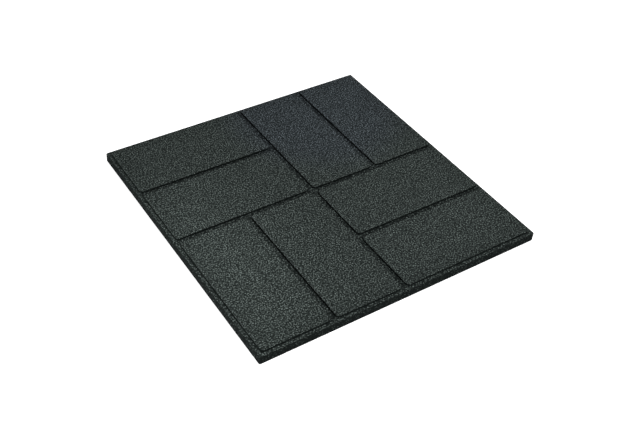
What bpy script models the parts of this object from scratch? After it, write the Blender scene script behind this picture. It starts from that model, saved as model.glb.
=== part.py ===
"""Rubber stepping stone: a square slab whose walking face is moulded as eight raised brick pads
laid in a basket weave, with open grooves between them and a narrow ledge all round.

The slab stands on its flat underside with its centre at the origin, +Z up.
"""

import math

import bmesh
import bpy
from mathutils import Matrix, Vector

# Slab
SIDE = 0.4064
LEDGE_HEIGHT = 0.0127
SLAB_CORNER_RADIUS = 0.0010
SLAB_CORNER_SEGMENTS = 3
RIM_RADIUS = 0.0008
RIM_SEGMENTS = 3
HEEL_RADIUS = 0.0005
HEEL_SEGMENTS = 2

# Brick pads: the ledge and the grooves are measured to the middles of the pads' walls
RELIEF = 0.0032
LEDGE_WIDTH = 0.0052
GROOVE_WIDTH = 0.0071
PAD_CORNER_RADIUS = 0.0048
PAD_CORNER_SEGMENTS = 5
WALL_ANGLE = math.radians(78.0)
FOOT_RADIUS = 0.0012
LIP_RADIUS = 0.0010
ROUND_SEGMENTS = 2
SUNK_DEPTH = 0.0030
SUNK_SKIRT = 0.0002

# Side of the square that the pads' cells fill, each cell half of it long and a quarter wide
FIELD = SIDE - 2.0 * LEDGE_WIDTH + GROOVE_WIDTH

# Rubber
RUBBER_COLOUR = (0.046, 0.060, 0.058, 1.0)
RUBBER_ROUGHNESS = 0.9

NODE = "stepping_stone"
COLLECTION = "rubber stepping stone"
SMOOTH_ANGLE = math.radians(30.0)
UP = Vector((0.0, 0.0, 1.0))


def clear_objects():
    for item in list(bpy.data.objects):
        bpy.data.objects.remove(item, do_unlink=True)


def rubber():
    material = bpy.data.materials.new("crumb rubber")
    material.use_nodes = True
    surface = material.node_tree.nodes["Principled BSDF"]
    surface.inputs["Base Color"].default_value = RUBBER_COLOUR
    surface.inputs["Roughness"].default_value = RUBBER_ROUGHNESS
    surface.inputs["Metallic"].default_value = 0.0
    return material


def box(length, width, low, high):
    """A closed box centred on the Z axis between two heights."""
    bm = bmesh.new()
    place = Matrix.Translation((0.0, 0.0, (low + high) / 2.0))
    size = Matrix.Diagonal((length, width, high - low, 1.0))
    bmesh.ops.create_cube(bm, size=1.0, matrix=place @ size)
    return bm


def upright_edges(bm):
    return [edge for edge in bm.edges
            if abs((edge.verts[0].co - edge.verts[1].co).normalized().dot(UP)) > 0.99]


def cap(bm, direction):
    """The flat face that looks up (1) or down (-1)."""
    bm.normal_update()
    return max(bm.faces, key=lambda face: (face.normal.z * direction > 0.99, face.calc_area()))


def round_edges(bm, edges, radius, segments):
    bmesh.ops.bevel(bm, geom=edges, offset=radius, offset_type="OFFSET", segments=segments,
                    profile=0.5, affect="EDGES", clamp_overlap=True, material=-1)


def slab():
    """The square body below the pads, its rim rounded and its heel eased."""
    bm = box(SIDE, SIDE, 0.0, LEDGE_HEIGHT)
    round_edges(bm, upright_edges(bm), SLAB_CORNER_RADIUS, SLAB_CORNER_SEGMENTS)
    round_edges(bm, list(cap(bm, 1).edges), RIM_RADIUS, RIM_SEGMENTS)
    round_edges(bm, list(cap(bm, -1).edges), HEEL_RADIUS, HEEL_SEGMENTS)
    return bm


def arc_steps(radius, start, end):
    """Inward and upward steps along an arc whose slope turns from start to end."""
    turn = (end - start) / ROUND_SEGMENTS
    steps = []
    for index in range(ROUND_SEGMENTS):
        near = start + turn * index
        far = near + turn
        inward = radius * abs(math.sin(far) - math.sin(near))
        upward = radius * abs(math.cos(near) - math.cos(far))
        steps.append((inward, upward))
    return steps


def pad_profile():
    """Steps from the groove floor to the pad's flat top: foot fillet, drafted wall, rounded lip."""
    foot = arc_steps(FOOT_RADIUS, 0.0, WALL_ANGLE)
    lip = arc_steps(LIP_RADIUS, WALL_ANGLE, 0.0)
    wall_rise = RELIEF - sum(rise for _, rise in foot + lip)
    wall = [(wall_rise / math.tan(WALL_ANGLE), wall_rise)]
    return foot + wall + lip


def pad(length, width):
    """One brick pad centred on the Z axis, sunk a little into the slab so that the two can join."""
    profile = pad_profile()
    foot_inward, foot_rise = profile[0]
    skirt_inward = SUNK_SKIRT * foot_inward / foot_rise
    foot_reach = sum(inward for inward, _ in profile) / 2.0 + skirt_inward
    spread = 2.0 * foot_reach - GROOVE_WIDTH
    low = LEDGE_HEIGHT - SUNK_DEPTH
    bm = box(length + spread, width + spread, low, LEDGE_HEIGHT - SUNK_SKIRT)
    round_edges(bm, upright_edges(bm), PAD_CORNER_RADIUS + foot_reach, PAD_CORNER_SEGMENTS)
    top = cap(bm, 1)
    steps = [(foot_inward + skirt_inward, foot_rise + SUNK_SKIRT)] + profile[1:]
    for inward, upward in steps:
        bmesh.ops.inset_region(bm, faces=[top], thickness=inward, depth=0.0, use_even_offset=True)
        bmesh.ops.translate(bm, verts=list(top.verts), vec=UP * upward)
    return bm


def pad_places():
    """Centre and quarter turns of each pad: quadrants on one diagonal run across, the others along."""
    quarter = FIELD / 4.0
    eighth = FIELD / 8.0
    places = []
    for east in (-1, 1):
        for north in (-1, 1):
            centre = Vector((east * quarter, north * quarter, 0.0))
            turned = east == north
            aside = Vector((1.0, 0.0, 0.0)) if turned else Vector((0.0, 1.0, 0.0))
            for side in (-1, 1):
                places.append((centre + aside * (side * eighth), turned))
    return places


def pads():
    bm = bmesh.new()
    for centre, turned in pad_places():
        size = (FIELD / 4.0, FIELD / 2.0) if turned else (FIELD / 2.0, FIELD / 4.0)
        one = pad(*size)
        bmesh.ops.translate(one, verts=one.verts, vec=centre)
        loose = bpy.data.meshes.new("pad")
        one.to_mesh(loose)
        one.free()
        bm.from_mesh(loose)
        bpy.data.meshes.remove(loose)
    return bm


def new_object(name, bm, collection):
    mesh = bpy.data.meshes.new(name)
    bmesh.ops.recalc_face_normals(bm, faces=bm.faces)
    bm.to_mesh(mesh)
    bm.free()
    item = bpy.data.objects.new(name, mesh)
    collection.objects.link(item)
    return item


def new_collection(name):
    collection = bpy.data.collections.new(name)
    bpy.context.scene.collection.children.link(collection)
    return collection


def main():
    clear_objects()
    material = rubber()
    stone = new_object(NODE, slab(), new_collection(COLLECTION))
    stone.data.materials.append(material)

    raised = new_object("raised pads", pads(), new_collection("joined into the slab"))
    raised.data.materials.append(material)
    raised.hide_render = True
    raised.display_type = "WIRE"

    union = stone.modifiers.new("join pads", "BOOLEAN")
    union.operation = "UNION"
    union.solver = "EXACT"
    union.object = raised

    stone.data.shade_smooth()
    stone.data.set_sharp_from_angle(angle=SMOOTH_ANGLE)


main()
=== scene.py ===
"""Finish, stage and camera for the rubber stepping stone.

The stone is pressed from rubber crumb. Its slab and its eight brick pads are cut into crumb-sized
facets, each facet is domed into a crumb of its own, and the rubber's colour and the painted shade in its
pits follow them.
"""

import math
from random import Random

import bmesh
import bpy
from bpy.props import FloatProperty, FloatVectorProperty, IntProperty, PointerProperty
from mathutils import Matrix, Vector


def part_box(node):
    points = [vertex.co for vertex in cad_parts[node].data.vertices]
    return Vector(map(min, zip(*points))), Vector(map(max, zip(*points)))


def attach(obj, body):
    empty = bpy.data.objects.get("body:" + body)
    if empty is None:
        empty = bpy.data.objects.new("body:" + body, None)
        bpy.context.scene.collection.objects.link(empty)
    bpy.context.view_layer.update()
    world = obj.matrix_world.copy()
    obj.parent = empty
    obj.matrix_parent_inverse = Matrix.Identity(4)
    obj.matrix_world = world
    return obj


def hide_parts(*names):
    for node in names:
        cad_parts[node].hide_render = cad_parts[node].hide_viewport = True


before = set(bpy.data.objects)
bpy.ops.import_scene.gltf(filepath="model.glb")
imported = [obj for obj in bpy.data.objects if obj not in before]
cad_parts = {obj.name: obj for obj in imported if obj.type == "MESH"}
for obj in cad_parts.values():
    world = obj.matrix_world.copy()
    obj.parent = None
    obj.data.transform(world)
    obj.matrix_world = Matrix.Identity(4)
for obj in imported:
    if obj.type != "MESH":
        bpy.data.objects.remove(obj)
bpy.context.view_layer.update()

bl_info = {
    "name": "Rubber Stepping Stone",
    "version": (1, 0, 0),
    "blender": (4, 5, 0),
    "location": "3D View > Sidebar > Stone",
    "description": "Presses a crumb rubber stepping stone with brick pads and sets it on a studio floor",
    "category": "Add Mesh",
}

NODE = "stepping_stone"
BODY = "root"

LOW_CORNER, HIGH_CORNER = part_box(NODE)
SIDE = HIGH_CORNER.x - LOW_CORNER.x
THICKNESS = HIGH_CORNER.z - LOW_CORNER.z

UP = Vector((0.0, 0.0, 1.0))
ACROSS = Vector((1.0, 0.0, 0.0))
ALONG = Vector((0.0, 1.0, 0.0))
WHITE = (1.0, 1.0, 1.0, 1.0)


def linear(hex_colour):
    """Linear RGB of an sRGB hex value such as 3d4644."""
    channels = [int(hex_colour[index:index + 2], 16) / 255.0 for index in (0, 2, 4)]
    return tuple(value / 12.92 if value <= 0.04045 else ((value + 0.055) / 1.055) ** 2.4
                 for value in channels)


# Sizes and colours that a user would change


class StoneSizes(bpy.types.PropertyGroup):
    """Sizes of the pressed stone and of its crumb"""
    pad_relief: FloatProperty(
        name="Pad Relief", description="Height of the brick pads above the groove floors",
        default=0.0032, min=0.001, max=0.008, unit="LENGTH", precision=4)
    ledge_width: FloatProperty(
        name="Ledge Width", description="Distance from the slab's side to the middle of the pads' walls",
        default=0.0052, min=0.003, max=0.012, unit="LENGTH", precision=4)
    groove_width: FloatProperty(
        name="Groove Width", description="Width of a groove between the middles of its two walls",
        default=0.0071, min=0.005, max=0.016, unit="LENGTH", precision=4)
    pad_corner: FloatProperty(
        name="Pad Corner", description="Radius of a brick pad's corners seen from above",
        default=0.0048, min=0.002, max=0.012, unit="LENGTH", precision=4)
    crumb_pitch: FloatProperty(
        name="Crumb Pitch", description="Distance from one crumb to the next on the brick pads",
        default=0.00140, min=0.0013, max=0.006, unit="LENGTH", precision=5)
    crumb_height: FloatProperty(
        name="Crumb Height", description="Height of the proudest crumbs above the pits between them",
        default=0.00042, min=0.0, max=0.0012, unit="LENGTH", precision=5)
    seed: IntProperty(
        name="Seed", description="Another value lays the crumbs another way", default=7, min=0)


class RubberLook(bpy.types.PropertyGroup):
    """Colours of the crumb rubber"""
    dark_crumb: FloatVectorProperty(
        name="Dark Crumb", description="Colour of the crumbs that nothing has scuffed",
        subtype="COLOR", size=3, default=linear("0e1312"), min=0.0, max=1.0)
    # Palest crumbs: scuffed wear, and in part painted glints on the crumbs' facets
    pale_crumb_and_glint: FloatVectorProperty(
        name="Pale Crumb", description="Colour of the most scuffed crumbs, the pale flecks",
        subtype="COLOR", size=3, default=linear("798480"), min=0.0, max=1.0)
    # Painted shade in the pits between crumbs
    pit_shade: FloatVectorProperty(
        name="Pit", description="Colour in the pits between crumbs",
        subtype="COLOR", size=3, default=linear("0c100f"), min=0.0, max=1.0)


class StageLook(bpy.types.PropertyGroup):
    """Floor and light of the studio"""
    floor: FloatVectorProperty(
        name="Floor", description="Colour of the studio floor",
        subtype="COLOR", size=3, default=linear("e6e6e6"), min=0.0, max=1.0)
    floor_glow: FloatProperty(
        name="Floor Glow", description="How much whiter the camera sees the floor; it lights nothing",
        default=0.85, min=0.0, soft_max=2.0)
    overhead_power: FloatProperty(
        name="Overhead Softbox", description="Power of the soft light above and behind, in watts",
        default=10.3, min=0.0, soft_max=500.0)
    spot_power: FloatProperty(
        name="Near Corner Spot", description="Power of the faded spot over the near corner, in watts",
        default=58.0, min=0.0, soft_max=500.0)
    left_card_power: FloatProperty(
        name="Low Left Card", description="Power of the low light that grazes the left side, in watts",
        default=12.0, min=0.0, soft_max=500.0)
    front_power: FloatProperty(
        name="Front Softbox", description="Power of the soft light in front of the stone, in watts",
        default=6.4, min=0.0, soft_max=500.0)
    back_card_power: FloatProperty(
        name="Low Back Card", description="Power of the low light that grazes the two far sides, in watts",
        default=7.0, min=0.0, soft_max=500.0)
    air: FloatProperty(
        name="Air", description="Strength of the light that comes evenly from all round",
        default=0.30, min=0.0, soft_max=5.0)


# Plain forms of the slab and the pads

RIM_RADIUS = 0.0011
RIM_SEGMENTS = 2
HEEL_RADIUS = 0.0002
SLAB_CORNER_RADIUS = 0.0016
SLAB_CORNER_SEGMENTS = 2
# What the plain sides stand back beyond their crumbs, so that few crumbs are pressed flat
SIDE_MARGIN = 0.00002
PAD_CORNER_SEGMENTS = 5
# Inward run and rise of a pad's foot, wall and lip, as shares of the wall's run and of the relief
WALL_STEPS = ((0.40, 0.12), (0.12, 0.34), (0.12, 0.34), (0.36, 0.20))
WALL_RUN = 0.0013
# How far the pads' feet start below the groove floors, and how far their plain bodies go on down
FOOT_SUNK = 0.0004
PAD_SUNK = 0.0030
# How far in from the foot of a pad's wall the slab's own crumbs go on under the pad
BED_MARGIN = 0.0026
# The slab's crumbs as a share of the height of the pads', and the height of the underside's own
SLAB_CRUMB_SHARE = 0.7
UNDERSIDE_CRUMB = 0.00015
# Cosine past which an edge counts as upright and a face as level
ALIGNED = 0.99
# A bevel leaves gaps in the list of faces, which new faces fill in another order on each run: so many
# faces of a pad, of the slab and of the cuts round its beds come into such gaps
PAD_GAPS = 6
SLAB_GAPS = 19
BED_GAPS = 13


def box(length, width, low, high):
    """A closed box centred on the Z axis between two heights."""
    bm = bmesh.new()
    place = Matrix.Translation((0.0, 0.0, (low + high) / 2.0))
    size = Matrix.Diagonal((length, width, high - low, 1.0))
    bmesh.ops.create_cube(bm, size=1.0, matrix=place @ size)
    return bm


def upright_edges(bm):
    return [edge for edge in bm.edges
            if abs((edge.verts[0].co - edge.verts[1].co).normalized().dot(UP)) > ALIGNED]


def cap(bm, direction):
    """The largest flat face that looks up (1) or down (-1)."""
    bm.normal_update()
    return max(bm.faces, key=lambda face: (face.normal.z * direction > ALIGNED, face.calc_area()))


def round_edges(bm, edges, radius, segments):
    bmesh.ops.bevel(bm, geom=edges, offset=radius, offset_type="OFFSET", segments=segments,
                    profile=0.5, affect="EDGES", clamp_overlap=True, material=-1)


def settle_order(bm, faces):
    """Sorts faces from the top down within their own places in the list, so that each run is the same."""
    bm.faces.index_update()
    places = sorted(face.index for face in faces)
    centres = {face: face.calc_center_median() for face in faces}
    settled = sorted(faces, key=lambda face: (-centres[face].z, centres[face].x, centres[face].y))
    for index, face in zip(places, settled):
        face.index = index
    bm.faces.sort()


def field_size(sizes):
    """Side of the square that the pads' cells fill, each with half a groove all round."""
    return SIDE - 2.0 * sizes.ledge_width + sizes.groove_width


def pad_places(turned, sizes):
    """Centres of the pads that run along Y (turned) or along X: each fill two opposite quadrants."""
    beside = ACROSS if turned else ALONG
    field = field_size(sizes)
    for east in (-1, 1):
        north = east if turned else -east
        centre = (ACROSS * east + ALONG * north) * (field / 4.0)
        for step in (-1, 1):
            yield centre + beside * (step * field / 8.0)


def cell_size(turned, sizes):
    """Length along X and width along Y of a pad's cell, half the field long and a quarter wide."""
    half, quarter = field_size(sizes) / 2.0, field_size(sizes) / 4.0
    return (quarter, half) if turned else (half, quarter)


def slab_crumb(sizes):
    """Height of the crumbs on the groove floors, the ledge and the sides, flatter than the pads'."""
    return sizes.crumb_height * SLAB_CRUMB_SHARE


def groove_floor(sizes):
    """Height of the plain groove floor, low enough for its crumbs to stay in size."""
    return THICKNESS - sizes.pad_relief - slab_crumb(sizes)


def pad_form(turned, sizes):
    """One brick pad on the Z axis, sunk into the slab, with a flared foot and a rounded lip."""
    length, width = cell_size(turned, sizes)
    spread = WALL_RUN - sizes.groove_width
    foot = groove_floor(sizes) - FOOT_SUNK
    height = THICKNESS - sizes.crumb_height - foot
    bm = box(length + spread, width + spread, foot - PAD_SUNK, foot)
    round_edges(bm, upright_edges(bm), sizes.pad_corner + WALL_RUN / 2.0, PAD_CORNER_SEGMENTS)
    top = cap(bm, 1)
    for run, rise in WALL_STEPS:
        bmesh.ops.inset_region(bm, faces=[top], thickness=run * WALL_RUN, use_even_offset=True)
        bmesh.ops.translate(bm, verts=list(top.verts), vec=UP * (rise * height))
    settle_order(bm, list(bm.faces)[:PAD_GAPS])
    return bm


def slab_reach(sizes):
    """Distance from the middle of the slab to its plain sides, under their crumbs."""
    return SIDE / 2.0 - slab_crumb(sizes) - SIDE_MARGIN


def slab_form(sizes):
    """The slab without its pads, eased round its rim, its heel and its four corners."""
    side = 2.0 * slab_reach(sizes)
    bm = box(side, side, UNDERSIDE_CRUMB, groove_floor(sizes))
    round_edges(bm, upright_edges(bm), SLAB_CORNER_RADIUS, SLAB_CORNER_SEGMENTS)
    round_edges(bm, list(cap(bm, 1).edges), RIM_RADIUS, RIM_SEGMENTS)
    round_edges(bm, list(cap(bm, -1).edges), HEEL_RADIUS, 1)
    settle_order(bm, list(bm.faces)[:SLAB_GAPS])
    return bm


# Crumbs

# Pitches of the slab's crumbs and of the underside's, as multiples of the pads'
SLAB_PITCH = 1.16
UNDERSIDE_PITCH = 2.5
# A cut nearer than this to a corner goes through the corner
SLIVER = 0.0001
# How far corners and crowns stray sideways, as a share of their shortest edge
SCATTER = 0.36
# Depth that corners stray and height that crowns lack at most, as shares of a crumb's height
CORNER_DEPTH = 1.0 / 3.0
CROWN_LACK = 0.75
# How far a crumb's tone is pushed away from its neighbours'
TONE_PARTING = 0.95
# Height below the pads' tops within which a face belongs to the walking surface or its lip
LIP_BAND = 0.0010
# A face that looks up at least this much is a floor, not a wall
LEVEL = 0.85
# How pale the crumbs are worn where the pads' tops have 1. The lower values are partly less wear and
# partly painted shade: slight on the ledge, more on the groove floors and the sides, most on the pads'
# walls
LEDGE_WEAR_AND_SHADE = 0.95
FLOOR_WEAR_AND_SHADE = 0.73
SIDE_WEAR_AND_SHADE = 0.26
WALL_WEAR_AND_SHADE = 0.0
# A piece with more triangles than this stops the script. Past this many, the export
# would thin a piece
MOST_TRIANGLES = 200000


def evenly(low, high, pitch):
    """Positions between two ends, about a pitch apart, without the ends."""
    count = max(1, round((high - low) / pitch))
    return [low + (high - low) * index / count for index in range(1, count)]


def cut_along(bm, faces, direction, positions):
    """Cuts the given faces with parallel planes in rising order; returns what they have become."""
    done = []
    ahead = list(faces)
    for position in positions:
        edges = dict.fromkeys(edge for face in ahead for edge in face.edges)
        verts = dict.fromkeys(vert for face in ahead for vert in face.verts)
        cut = bmesh.ops.bisect_plane(bm, geom=ahead + list(edges) + list(verts), dist=SLIVER,
                                     plane_co=direction * position, plane_no=direction)
        ahead = []
        for face in (item for item in cut["geom"] if isinstance(item, bmesh.types.BMFace)):
            beyond = face.calc_center_median().dot(direction) > position
            (ahead if beyond else done).append(face)
    return done + ahead


def sideways(normal, random):
    """A unit vector square to the normal, turned at random round it."""
    vector = normal.orthogonal().normalized()
    vector.rotate(Matrix.Rotation(random.uniform(0.0, math.tau), 3, normal))
    return vector


def wear_and_shade_of(face, sizes):
    """How pale its crumbs are worn, with painted shade mixed in: palest on the pads and the ledge, darker
    on the groove floors and the sides, darkest on the pads' walls.
    """
    place = face.calc_center_median()
    level = face.normal.z > LEVEL
    outward = max(abs(place.x), abs(place.y))
    if level and outward > SIDE / 2.0 - sizes.ledge_width:
        return LEDGE_WEAR_AND_SHADE
    if place.z > THICKNESS - LIP_BAND:
        return 1.0
    if level:
        return FLOOR_WEAR_AND_SHADE
    return WALL_WEAR_AND_SHADE if place.z > THICKNESS - sizes.pad_relief else SIDE_WEAR_AND_SHADE


def neighbours(face):
    """The facets around one; those across an edge are given twice, as they share two corners."""
    return [other for vert in face.verts for other in vert.link_faces if other is not face]


def tone_crumbs(bm, faces, random):
    """Gives each facet a tone that stands off from its neighbours', so that no patch looks blotchy."""
    tone = bm.faces.layers.float["crumb_tone"]
    drawn = {face: random.random() for face in faces}
    for face in faces:
        near = [drawn[other] for other in neighbours(face) if other in drawn]
        pull = sum(near) / len(near) - 0.5 if near else 0.0
        face[tone] = drawn[face] - TONE_PARTING * pull


def scatter_corners(bm, faces, height, random):
    """Shifts the facets' corners along the surface and in depth, so that no row of crumbs shows."""
    bm.normal_update()
    shifts = {}
    for vert in dict.fromkeys(vert for face in faces for vert in face.verts):
        reach = SCATTER * min(edge.calc_length() for edge in vert.link_edges)
        depth = -random.random() * height * CORNER_DEPTH
        shifts[vert] = (sideways(vert.normal, random) * (reach * math.sqrt(random.random()))
                        + vert.normal * depth)
    for vert, shift in shifts.items():
        vert.co += shift


def dome_crumbs(bm, faces, height, random):
    """Raises a crown in every facet and parts the facets by sharp edges."""
    crown = bm.verts.layers.float["crumb_crown"]
    for face in faces:
        for edge in face.edges:
            edge.smooth = False
    bm.normal_update()
    poked = bmesh.ops.poke(bm, faces=faces, offset=0.0, center_mode="MEAN_WEIGHTED")
    for vert in poked["verts"]:
        lean = SCATTER * min(edge.calc_length() for edge in vert.link_edges) * random.random()
        rise = height * (1.0 - CROWN_LACK * random.random() ** 2)
        vert.co += vert.normal * rise + sideways(vert.normal, random) * lean
        vert[crown] = 1.0


def press_crumbs(bm, faces, cuts, height, sizes, random):
    """Turns plain faces into crumbs: cut to size, toned, then scattered and domed."""
    for direction, positions in cuts:
        faces = cut_along(bm, faces, direction, positions)
    wear_and_shade = bm.faces.layers.float["crumb_scuffed"]
    bm.normal_update()
    # Each facet's wear, with painted shade on the walls, groove floors and sides
    for face in faces:
        face[wear_and_shade] = wear_and_shade_of(face, sizes)
    tone_crumbs(bm, faces, random)
    scatter_corners(bm, faces, height, random)
    dome_crumbs(bm, faces, height, random)


def add_crumb_layers(bm):
    bm.faces.layers.float.new("crumb_tone")
    # Wear of each facet with painted shade: darker on the walls, groove floors and sides
    bm.faces.layers.float.new("crumb_scuffed")
    bm.verts.layers.float.new("crumb_crown")


def crumbed_pad(turned, sizes, random):
    """One pad on the Z axis with crumbs on its top, its lip and its walls."""
    length, width = cell_size(turned, sizes)
    lip = (sizes.groove_width + WALL_RUN) / 2.0
    bm = pad_form(turned, sizes)
    add_crumb_layers(bm)
    foot = groove_floor(sizes) - FOOT_SUNK
    bm.normal_update()
    faces = [face for face in bm.faces if face.calc_center_median().z > foot]
    cuts = [(direction, evenly(lip - extent / 2.0, extent / 2.0 - lip, sizes.crumb_pitch))
            for direction, extent in ((ACROSS, length), (ALONG, width))]
    press_crumbs(bm, faces, cuts, sizes.crumb_height, sizes, random)
    return bm


def crumbed_pads(turned, sizes, random):
    """The four pads that lie one way, each with crumbs of its own."""
    bm = bmesh.new()
    add_crumb_layers(bm)
    for centre in pad_places(turned, sizes):
        one = crumbed_pad(turned, sizes, random)
        bmesh.ops.translate(one, verts=one.verts, vec=centre)
        loose = bpy.data.meshes.new("pad")
        one.to_mesh(loose)
        one.free()
        bm.from_mesh(loose)
        bpy.data.meshes.remove(loose)
    return bm


def bed_margin(sizes):
    """Distance from the edge of a pad's cell to its bed, the hidden slab under the pad."""
    return (sizes.groove_width - WALL_RUN) / 2.0 + BED_MARGIN


def under_a_pad(place, sizes):
    for turned in (False, True):
        length, width = cell_size(turned, sizes)
        for centre in pad_places(turned, sizes):
            away = place - centre
            inside = (length / 2.0 - bed_margin(sizes), width / 2.0 - bed_margin(sizes))
            if abs(away.x) < inside[0] and abs(away.y) < inside[1]:
                return True
    return False


def crumbed_slab(sizes, random):
    """The slab with crumbs all over, coarser below, and none on the hidden beds under the pads."""
    bm = slab_form(sizes)
    add_crumb_layers(bm)
    margin = bed_margin(sizes)
    quarter = field_size(sizes) / 4.0
    bed_edges = [quarter * index + offset for index in range(-2, 3) for offset in (-margin, margin)]
    uncut = list(bm.faces)
    top = [cap(bm, 1)]
    for direction in (ACROSS, ALONG):
        top = cut_along(bm, top, direction, bed_edges[1:-1])
    settle_order(bm, [face for face in bm.faces if face not in uncut][:BED_GAPS])
    bm.normal_update()
    beds = [face for face in top if under_a_pad(face.calc_center_median(), sizes)]
    under = [cap(bm, -1)]
    worked = [face for face in bm.faces if face not in beds and face not in under]
    reach = slab_reach(sizes)
    pitch = sizes.crumb_pitch * SLAB_PITCH
    across = evenly(-reach + RIM_RADIUS, reach - RIM_RADIUS, pitch)
    levels = evenly(UNDERSIDE_CRUMB + HEEL_RADIUS, groove_floor(sizes) - RIM_RADIUS, pitch)
    press_crumbs(bm, worked, ((UP, levels), (ACROSS, across), (ALONG, across)),
                 slab_crumb(sizes), sizes, random)
    coarse = evenly(-reach, reach, sizes.crumb_pitch * UNDERSIDE_PITCH)
    press_crumbs(bm, under, ((ACROSS, coarse), (ALONG, coarse)), UNDERSIDE_CRUMB, sizes, random)
    return bm


def keep_inside(bm):
    """Presses crumbs that stand out of the stone's own box back to it, as the mould's wall does."""
    for vert in bm.verts:
        for axis in range(3):
            vert.co[axis] = min(max(vert.co[axis], LOW_CORNER[axis]), HIGH_CORNER[axis])


def check_piece(name, bm):
    """Stops the script at a mesh with an opening, or with more crumbs than the export takes."""
    if not all(edge.is_manifold for edge in bm.edges):
        raise RuntimeError(f"{name} isn't closed")
    if sum(len(face.verts) - 2 for face in bm.faces) > MOST_TRIANGLES:
        raise RuntimeError(f"{name} has too many crumbs: give it a larger crumb pitch")


def new_piece(name, bm, material):
    """A finished piece of the stone, which rides with it and stands for its plain solid."""
    keep_inside(bm)
    check_piece(name, bm)
    for face in bm.faces:
        face.smooth = True
    mesh = bpy.data.meshes.new(name)
    bm.to_mesh(mesh)
    bm.free()
    mesh.materials.append(material)
    piece = bpy.data.objects.new(name, mesh)
    bpy.context.scene.collection.objects.link(piece)
    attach(piece, BODY)
    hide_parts(NODE)


# Materials


class Wiring:
    """The nodes of a material or of the world, added one by one with their settings and links."""

    def __init__(self, tree):
        self.tree = tree
        tree.nodes.clear()

    def add(self, kind, settings=None, **inputs):
        """Inputs go by the socket's name with _ for a space, or by i and the socket's number."""
        node = self.tree.nodes.new(kind)
        for key, value in (settings or {}).items():
            setattr(node, key, value)
        for key, value in inputs.items():
            socket = node.inputs[int(key[1:]) if key[1:].isdigit() else key.replace("_", " ")]
            if isinstance(value, bpy.types.NodeSocket):
                self.tree.links.new(value, socket)
            else:
                socket.default_value = value
        return node


RUBBER = "pressed crumb rubber"
# Flecks inside the crumbs are about half a millimetre wide, and count this much beside the crumb's tone
FLECK_SIZE = 0.00055
FLECK_SHARE = 0.25
# Tones up to the low one are bare, those past the high one are worn palest, and few crumbs get there
TONE_LOW, TONE_HIGH = 0.25, 1.05
TONE_POWER = 3.0
# Wear of the barest crumb where wear and shade has 1, and how much tone a place loses where it has 0,
# which is painted shade on the pads' walls
BARE_WEAR = 0.37
TONE_DIMMED = 0.30
# Painted shade darkens the stone's border, over this width and down to this share
SHADED_BORDER = 0.045
BORDER_SHADE_SHARE = 0.80
# How far up a crumb's flank the painted shade of its pit reaches, where the crown has 1
PIT_SHADE_WIDTH = 0.27
# Fine grain of a crumb's skin
GRAIN_SIZE = 0.00045
GRAIN_DEPTH = 0.0001
# Painted cool light on the back right of the stone: where it falls, how far it reaches, and what it does
# to the colour
COOL_LIGHT_PLACE = (0.10, 0.15, 0.0)
COOL_CORE, COOL_REACH = 0.09, 0.16
COOL_LIGHT_TINT = (1.0, 0.985, 1.15, 1.0)


def crumb_paleness(add, place):
    """How pale each point is, from its crumb's tone, its flecks, its place's wear and painted shade, and
    the painted shade along the stone's border.
    """
    tone = add("ShaderNodeAttribute", {"attribute_name": "crumb_tone"}).outputs["Fac"]
    wear_and_shade = add("ShaderNodeAttribute", {"attribute_name": "crumb_scuffed"}).outputs["Fac"]
    fleck = add("ShaderNodeTexVoronoi", Vector=place, Scale=1.0 / FLECK_SIZE).outputs["Color"]
    fleck_tone = add("ShaderNodeSeparateColor", Color=fleck).outputs["Red"]
    mixed = add("ShaderNodeMix", {"data_type": "FLOAT"}, Factor=FLECK_SHARE,
                i2=tone, i3=fleck_tone).outputs[0]
    dimmed = add("ShaderNodeMath", {"operation": "MULTIPLY_ADD"},
                 i0=wear_and_shade, i1=TONE_DIMMED, i2=-TONE_DIMMED).outputs[0]
    left = add("ShaderNodeMath", {"operation": "ADD"}, i0=mixed, i1=dimmed).outputs[0]
    bare = add("ShaderNodeMath", {"operation": "MULTIPLY"}, i0=wear_and_shade, i1=BARE_WEAR).outputs[0]
    parted = add("ShaderNodeMapRange", {"interpolation_type": "SMOOTHSTEP"}, Value=left,
                 From_Min=TONE_LOW, From_Max=TONE_HIGH, To_Min=bare).outputs[0]
    worn_and_shaded = add("ShaderNodeMath", {"operation": "POWER"}, i0=parted, i1=TONE_POWER).outputs[0]

    # Painted shade towards the stone's four sides
    folded = add("ShaderNodeVectorMath", {"operation": "ABSOLUTE"}, i0=place).outputs[0]
    apart = add("ShaderNodeSeparateXYZ", i0=folded).outputs
    outward = add("ShaderNodeMath", {"operation": "MAXIMUM"}, i0=apart[0], i1=apart[1]).outputs[0]
    border_shade = add("ShaderNodeMapRange", {"interpolation_type": "SMOOTHSTEP"}, Value=outward,
                 From_Min=SIDE / 2.0 - SHADED_BORDER, From_Max=SIDE / 2.0,
                 To_Min=1.0, To_Max=BORDER_SHADE_SHARE).outputs[0]
    return add("ShaderNodeMath", {"operation": "MULTIPLY"}, i0=worn_and_shaded, i1=border_shade).outputs[0]
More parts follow.
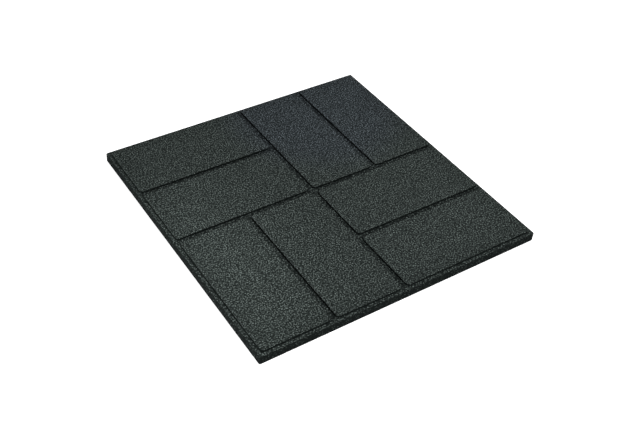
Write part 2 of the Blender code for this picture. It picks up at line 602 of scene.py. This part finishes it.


# Granules of rubber, bound and pressed in a heated mould: a matte, dark green-grey ground with fine pale
# flecks where granules are scuffed, which in part stand for painted glints, painted shade in the pits
# between them, on the pads' walls, groove floors and sides and along the border, a painted cool light at
# the back right, and hardly a highlight
def crumb_rubber(look):
    material = bpy.data.materials.new(RUBBER)
    material.use_nodes = True
    add = Wiring(material.node_tree).add
    place = add("ShaderNodeTexCoord").outputs["Object"]
    # Dark to pale by wear, painted shade and painted glints
    crumb = add("ShaderNodeMix", {"data_type": "RGBA"}, Factor=crumb_paleness(add, place),
                i6=(*look.dark_crumb, 1.0), i7=(*look.pale_crumb_and_glint, 1.0)).outputs[2]
    # Painted shade darkens each crumb towards the pits round it
    crown = add("ShaderNodeAttribute", {"attribute_name": "crumb_crown"}).outputs["Fac"]
    pit_shade = add("ShaderNodeMapRange", {"interpolation_type": "SMOOTHSTEP"}, Value=crown,
              From_Min=0.0, From_Max=PIT_SHADE_WIDTH, To_Min=1.0, To_Max=0.0).outputs[0]
    pit_shaded = add("ShaderNodeMix", {"data_type": "RGBA"}, Factor=pit_shade,
                 i6=crumb, i7=(*look.pit_shade, 1.0)).outputs[2]

    # Painted bluish light tints the colour on the back right of the stone
    away = add("ShaderNodeVectorMath", {"operation": "DISTANCE"}, i0=place, i1=COOL_LIGHT_PLACE)
    cool = add("ShaderNodeMapRange", {"interpolation_type": "SMOOTHSTEP"},
               Value=away.outputs["Value"], From_Min=COOL_REACH, From_Max=COOL_CORE).outputs[0]
    tint = add("ShaderNodeMix", {"data_type": "RGBA"}, Factor=cool, i6=WHITE, i7=COOL_LIGHT_TINT).outputs[2]
    colour = add("ShaderNodeMix", {"data_type": "RGBA", "blend_type": "MULTIPLY"}, Factor=1.0,
                 i6=pit_shaded, i7=tint).outputs[2]

    grain = add("ShaderNodeTexNoise", Vector=place, Scale=1.0 / GRAIN_SIZE,
                Detail=3.0, Roughness=0.6).outputs[0]
    bump = add("ShaderNodeBump", Strength=0.6, Distance=GRAIN_DEPTH, Height=grain).outputs[0]
    surface = add("ShaderNodeBsdfPrincipled", Base_Color=colour, Roughness=0.88, IOR=1.5,
                  Specular_IOR_Level=0.05, Normal=bump).outputs[0]
    add("ShaderNodeOutputMaterial", Surface=surface)
    return material


# Fibres of the floor paper and how deep they lie, coarser than real ones, which would not show
FIBRE_SIZE = 0.0011
FIBRE_DEPTH = 0.0002


# Uncoated paper from a studio roll: an even, matte white with no sheen. Its glow is for the camera alone,
# so it whitens the ground behind the stone and lights nothing
def floor_paper(look):
    material = bpy.data.materials.new("matte floor paper")
    material.use_nodes = True
    add = Wiring(material.node_tree).add
    place = add("ShaderNodeTexCoord").outputs["Object"]
    fibre = add("ShaderNodeTexNoise", Vector=place, Scale=1.0 / FIBRE_SIZE, Detail=2.0).outputs[0]
    bump = add("ShaderNodeBump", Strength=0.05, Distance=FIBRE_DEPTH, Height=fibre).outputs[0]
    seen = add("ShaderNodeLightPath").outputs["Is Camera Ray"]
    glow = add("ShaderNodeMath", {"operation": "MULTIPLY"}, i0=seen, i1=look.floor_glow).outputs[0]
    surface = add("ShaderNodeBsdfPrincipled", Base_Color=(*look.floor, 1.0), Roughness=0.9,
                  Specular_IOR_Level=0.2, Normal=bump, Emission_Color=WHITE,
                  Emission_Strength=glow).outputs[0]
    material.cycles.emission_sampling = "NONE"
    add("ShaderNodeOutputMaterial", Surface=surface)
    return material


def rubber_for(scene):
    """The rubber that all the stone's pieces share, made when the first of them asks for it."""
    return bpy.data.materials.get(RUBBER) or crumb_rubber(scene.rubber_look)


# Stage

FLOOR_SIZE = 12.0
# Strength of the backdrop as the camera sees it: white, so that no line shows where the floor ends
AIR_SEEN = 1.0

OVERHEAD_PLACE = (0.32, 0.45, 1.50)
OVERHEAD_SIZE = (0.6, 0.6)
FRONT_PLACE = (-0.05, -0.95, 0.50)
FRONT_SIZE = (0.5, 0.5)
SOFTBOX_AIM = (0.0, 0.0, 0.0)
LEFT_CARD_PLACE = (-1.25, -0.10, 0.06)
LEFT_CARD_SIZE = (0.9, 0.10)
BACK_CARD_PLACE = (0.95, 1.05, 0.10)
BACK_CARD_SIZE = (0.9, 0.12)
CARD_AIM = (0.0, 0.0, 0.01)
SPOT_PLACE = (0.10, 0.20, 1.7)
SPOT_AIM = (-0.295, -0.07, 0.0)
SPOT_ANGLE = math.radians(16.7)
SPOT_RADIUS = 0.08

# The camera stands where the photograph was taken from, fitted to the stone's outline
CAMERA_AIM = Vector((-0.0689, -0.0178, 0.0080))
CAMERA_DISTANCE = 1.1768
CAMERA_AZIMUTH = math.radians(-33.854)
CAMERA_ELEVATION = math.radians(42.473)
CAMERA_ROLL = math.radians(3.270)
CAMERA_LENS = 52.07
CAMERA_SENSOR = 36.0
CAMERA_SHIFT = 0.070


def lay_floor(scene, look):
    bm = bmesh.new()
    bmesh.ops.create_grid(bm, x_segments=1, y_segments=1, size=FLOOR_SIZE / 2.0)
    mesh = bpy.data.meshes.new("studio_floor")
    bm.to_mesh(mesh)
    bm.free()
    mesh.materials.append(floor_paper(look))
    floor = bpy.data.objects.new("studio_floor", mesh)
    scene.collection.objects.link(floor)


def set_backdrop(scene, look):
    scene.world = bpy.data.worlds.new("studio")
    scene.world.use_nodes = True
    add = Wiring(scene.world.node_tree).add
    seen = add("ShaderNodeLightPath").outputs["Is Camera Ray"]
    strength = add("ShaderNodeMapRange", Value=seen, To_Min=look.air, To_Max=AIR_SEEN).outputs[0]
    air = add("ShaderNodeBackground", Color=WHITE, Strength=strength).outputs[0]
    add("ShaderNodeOutputWorld", Surface=air)
    scene.view_settings.view_transform = "Standard"


def hang_lamp(scene, data, place, aim, power):
    data.energy = power
    lamp = bpy.data.objects.new(data.name, data)
    lamp.location = place
    lamp.rotation_euler = (Vector(aim) - Vector(place)).to_track_quat("-Z", "Y").to_euler()
    scene.collection.objects.link(lamp)


def soft_panel(name, size):
    """A light that shines evenly from a rectangle, as a softbox or a lit card does."""
    data = bpy.data.lights.new(name, "AREA")
    data.shape = "RECTANGLE"
    data.size, data.size_y = size
    return data


def soft_spot(name, angle, radius):
    """A spot whose beam fades evenly from its middle to its edge."""
    data = bpy.data.lights.new(name, "SPOT")
    data.spot_size = angle
    data.spot_blend = 1.0
    data.shadow_soft_size = radius
    return data


def set_lights(scene, look):
    overhead = soft_panel("overhead softbox", OVERHEAD_SIZE)
    spot = soft_spot("near corner spot", SPOT_ANGLE, SPOT_RADIUS)
    left_card = soft_panel("low left card", LEFT_CARD_SIZE)
    front = soft_panel("front softbox", FRONT_SIZE)
    back_card = soft_panel("low back card", BACK_CARD_SIZE)
    hang_lamp(scene, overhead, OVERHEAD_PLACE, SOFTBOX_AIM, look.overhead_power)
    hang_lamp(scene, spot, SPOT_PLACE, SPOT_AIM, look.spot_power)
    hang_lamp(scene, left_card, LEFT_CARD_PLACE, CARD_AIM, look.left_card_power)
    hang_lamp(scene, front, FRONT_PLACE, SOFTBOX_AIM, look.front_power)
    hang_lamp(scene, back_card, BACK_CARD_PLACE, CARD_AIM, look.back_card_power)


def set_camera(scene):
    data = bpy.data.cameras.new("camera")
    data.lens = CAMERA_LENS
    data.sensor_width = CAMERA_SENSOR
    data.sensor_fit = "HORIZONTAL"
    data.shift_x = CAMERA_SHIFT
    camera = bpy.data.objects.new("camera", data)
    away = Vector((math.sin(CAMERA_AZIMUTH) * math.cos(CAMERA_ELEVATION),
                   -math.cos(CAMERA_AZIMUTH) * math.cos(CAMERA_ELEVATION),
                   math.sin(CAMERA_ELEVATION)))
    level = away.to_track_quat("Z", "Y").to_matrix().to_4x4()
    camera.matrix_world = (Matrix.Translation(CAMERA_AIM + away * CAMERA_DISTANCE) @ level
                           @ Matrix.Rotation(CAMERA_ROLL, 4, "Z"))
    scene.collection.objects.link(camera)
    scene.camera = camera


# Operators and panel


class STONE_OT_press_slab(bpy.types.Operator):
    """Press the slab with its groove floors, ledge, sides and underside"""
    bl_idname = "stone.press_slab"
    bl_label = "Press Slab"
    bl_options = {"REGISTER", "UNDO"}

    def execute(self, context):
        sizes = context.scene.stone_sizes
        bm = crumbed_slab(sizes, Random(sizes.seed))
        new_piece("slab", bm, rubber_for(context.scene))
        return {"FINISHED"}


class STONE_OT_press_pads(bpy.types.Operator):
    """Press the eight brick pads, four lying along X and four along Y"""
    bl_idname = "stone.press_pads"
    bl_label = "Press Brick Pads"
    bl_options = {"REGISTER", "UNDO"}

    def execute(self, context):
        sizes = context.scene.stone_sizes
        for turned, name in ((False, "brick_pads_across"), (True, "brick_pads_along")):
            bm = crumbed_pads(turned, sizes, Random(sizes.seed + 1 + turned))
            new_piece(name, bm, rubber_for(context.scene))
        return {"FINISHED"}


class STONE_OT_set_stage(bpy.types.Operator):
    """Lay the studio floor and set the backdrop, the lights and the camera"""
    bl_idname = "stone.set_stage"
    bl_label = "Set Stage"
    bl_options = {"REGISTER", "UNDO"}

    def execute(self, context):
        look = context.scene.stage_look
        lay_floor(context.scene, look)
        set_backdrop(context.scene, look)
        set_lights(context.scene, look)
        set_camera(context.scene)
        return {"FINISHED"}


STEPS = (STONE_OT_press_slab, STONE_OT_press_pads, STONE_OT_set_stage)
GROUPS = {"stone_sizes": StoneSizes, "rubber_look": RubberLook, "stage_look": StageLook}


class STONE_PT_panel(bpy.types.Panel):
    """Sizes, colours and steps of the stepping stone"""
    bl_label = "Rubber Stepping Stone"
    bl_idname = "STONE_PT_panel"
    bl_space_type = "VIEW_3D"
    bl_region_type = "UI"
    bl_category = "Stone"

    def draw(self, context):
        for name, kind in GROUPS.items():
            column = self.layout.column()
            for prop in kind.__annotations__:
                column.prop(getattr(context.scene, name), prop)
        for step in STEPS:
            self.layout.operator(step.bl_idname)


def register():
    for kind in (*GROUPS.values(), *STEPS, STONE_PT_panel):
        bpy.utils.register_class(kind)
    for name, kind in GROUPS.items():
        setattr(bpy.types.Scene, name, PointerProperty(type=kind))


def unregister():
    for name in GROUPS:
        delattr(bpy.types.Scene, name)
    for kind in (STONE_PT_panel, *STEPS, *GROUPS.values()):
        bpy.utils.unregister_class(kind)


def main():
    register()
    for step in STEPS:
        getattr(bpy.ops.stone, step.bl_idname.split(".")[1])()


if __name__ == "__main__":
    main()
